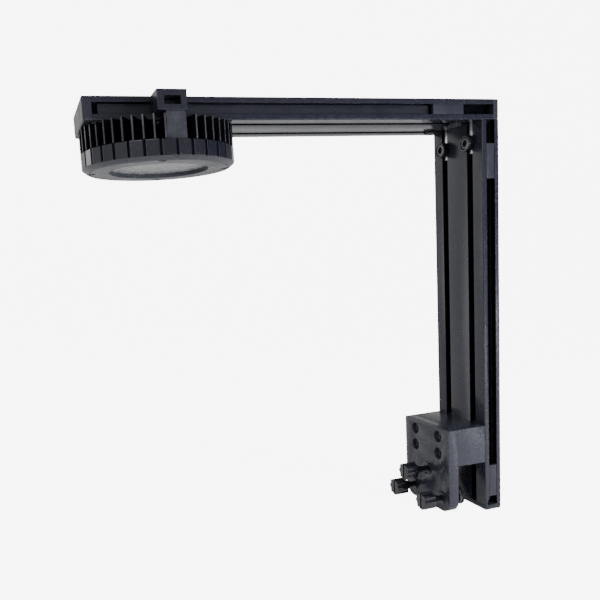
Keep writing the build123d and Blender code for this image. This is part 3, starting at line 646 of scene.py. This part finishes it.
def makeFloor():
    # level floor that turns up through a quarter circle into a wall, carried along X
    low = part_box("post_foot_cap")[0].z
    turn = np.linspace(0, math.pi / 2, studio["bendSteps"])
    bend = studio["sweep"]
    y = np.concatenate([[studio["front"]], studio["back"] + bend * np.sin(turn), [studio["back"] + bend]])
    z = np.concatenate([[low], low + bend * (1 - np.cos(turn)), [low + studio["wall"]]])
    x = np.linspace(-studio["halfWidth"], studio["halfWidth"], studio["widthSteps"])
    points = np.stack(np.broadcast_arrays(x[None, :], y[:, None], z[:, None]), axis=-1)
    mesh = bpy.data.meshes.new("floor")
    faces = gridFaces(len(y), len(x), False, False)
    mesh.from_pydata(points.reshape(-1, 3).tolist(), [], faces.tolist())
    mesh.polygons.foreach_set("use_smooth", np.ones(len(mesh.polygons), bool))
    floor = bpy.data.objects.new("floor", mesh)
    bpy.context.scene.collection.objects.link(floor)
    material, tree, shader, _ = newMaterial("floor_paper")
    shader.inputs["Base Color"].default_value = (*studio["floorTone"], 1)
    shader.inputs["Roughness"].default_value = studio["rough"]
    shader.inputs["Specular IOR Level"].default_value = studio["shine"]
    shader.inputs["Emission Color"].default_value = (1, 1, 1, 1)
    glow = brighterSeen(tree, studio["floorSeen"], studio["floorGlow"])
    tree.links.new(glow, shader.inputs["Emission Strength"])
    mesh.materials.append(material)


# light from each side: direction, where it starts and is full along that direction, strength
surround = dict(tone=(0.97, 0.98, 1.0), seen=8.0, everywhere=0.09, patch=2.2, patchRange=(0.75, 1.25),
                patchMiddle=(0.40, 0.60), offset=(3.1, 0.4, 1.7),
                sides=(((0, 0.8, -0.6), 0.3, 0.8, 0.92), ((0, 1, 0), 0.1, 0.7, 0.10),
                       ((-1, 0, 0), 0.1, 0.8, 0.40), ((0, -1, 0), 0.2, 0.8, 0.20)))


def makeWorld():
    # white where the lens sees it; as light, a bright low rear, softer front and left, dim right and top
    world = bpy.data.worlds.new("studio")
    world.use_nodes = True
    tree = world.node_tree
    sky = tree.nodes["Background"]
    coords = addNode(tree, "ShaderNodeTexCoord")
    mapping = addNode(tree, "ShaderNodeMapping")
    mapping.inputs["Location"].default_value = surround["offset"]
    mapping.inputs["Scale"].default_value = (surround["patch"],) * 3
    tree.links.new(coords.outputs["Generated"], mapping.inputs["Vector"])
    patches = addNode(tree, "ShaderNodeTexNoise", Scale=1.0, Detail=1.0)
    tree.links.new(mapping.outputs["Vector"], patches.inputs["Vector"])
    total = None
    for direction, start, full, strength in surround["sides"]:
        along = addNode(tree, "ShaderNodeVectorMath", operation="DOT_PRODUCT")
        along.inputs[1].default_value = direction
        tree.links.new(coords.outputs["Generated"], along.inputs[0])
        side = spread(tree, along.outputs["Value"], 0, strength, start, full)
        added = addNode(tree, "ShaderNodeMath", operation="ADD")
        added.inputs[1].default_value = surround["everywhere"]
        tree.links.new(side, added.inputs[0])
        if total:
            tree.links.new(total, added.inputs[1])
        total = added.outputs[0]
    patched = addNode(tree, "ShaderNodeMath", operation="MULTIPLY")
    tree.links.new(total, patched.inputs[0])
    patchy = spread(tree, patches.outputs["Fac"], *surround["patchRange"], *surround["patchMiddle"])
    tree.links.new(patchy, patched.inputs[1])
    final = addNode(tree, "ShaderNodeMath", operation="ADD")
    tree.links.new(patched.outputs[0], final.inputs[0])
    tree.links.new(brighterSeen(tree, surround["seen"], 0), final.inputs[1])
    sky.inputs["Color"].default_value = (*surround["tone"], 1)
    tree.links.new(final.outputs[0], sky.inputs["Strength"])
    bpy.context.scene.world = world


# place, point that it faces, width, height, power, and whether glossy faces mirror it
softBoxes = {
    "key": ((-1.1, -1.2, 1.5), (-0.1, 0.0, 0.15), 1.2, 1.2, 12.0, True),
    "rear": ((-1.6, 1.3, 0.7), (0.0, 0.0, 0.1), 0.9, 1.2, 5.0, True),
    "low": ((0.30, -0.60, 0.10), (0.05, -0.10, 0.0), 0.3, 0.3, 7.0, False),
}


def makeLights():
    for name, (place, target, width, height, power, mirrored) in softBoxes.items():
        lamp = bpy.data.lights.new(name, "AREA")
        lamp.shape = "RECTANGLE"
        lamp.size, lamp.size_y, lamp.energy = width, height, power
        holder = bpy.data.objects.new(name, lamp)
        bpy.context.scene.collection.objects.link(holder)
        holder.location = place
        holder.visible_glossy = mirrored
        holder.rotation_mode = "QUATERNION"
        holder.rotation_quaternion = (Vector(target) - Vector(place)).to_track_quat("-Z", "Y")


# place, lens and sensor in mm; angles in degrees: yaw from +Y towards +X, pitch up, roll; reach in metres
cameraAt = dict(place=(-329.04, -453.48, 174.60), yaw=16.54, pitch=-7.88, roll=-3.78, lens=38.93, sensor=36.0,
                shift=(0.1331, 0.0836), reach=(0.01, 50))


def makeCamera():
    yaw, pitch, roll = (math.radians(cameraAt[key]) for key in ("yaw", "pitch", "roll"))
    ahead = Vector((math.sin(yaw) * math.cos(pitch), math.cos(yaw) * math.cos(pitch), math.sin(pitch)))
    right = Vector((math.cos(yaw), -math.sin(yaw), 0))
    up = right.cross(ahead)
    turnedRight = right * math.cos(roll) + up * math.sin(roll)
    turnedUp = up * math.cos(roll) - right * math.sin(roll)
    lens = bpy.data.cameras.new("camera")
    lens.sensor_width = cameraAt["sensor"]
    lens.lens = cameraAt["lens"]
    lens.shift_x, lens.shift_y = cameraAt["shift"]
    lens.clip_start, lens.clip_end = cameraAt["reach"]
    camera = bpy.data.objects.new("camera", lens)
    bpy.context.scene.collection.objects.link(camera)
    axes = Matrix((turnedRight, turnedUp, -ahead)).transposed()
    camera.matrix_world = Matrix.Translation(Vector(cameraAt["place"]) * mm) @ axes.to_4x4()
    bpy.context.scene.camera = camera


makeFloor()
makeWorld()
makeLights()
makeCamera()
print("studio ready")
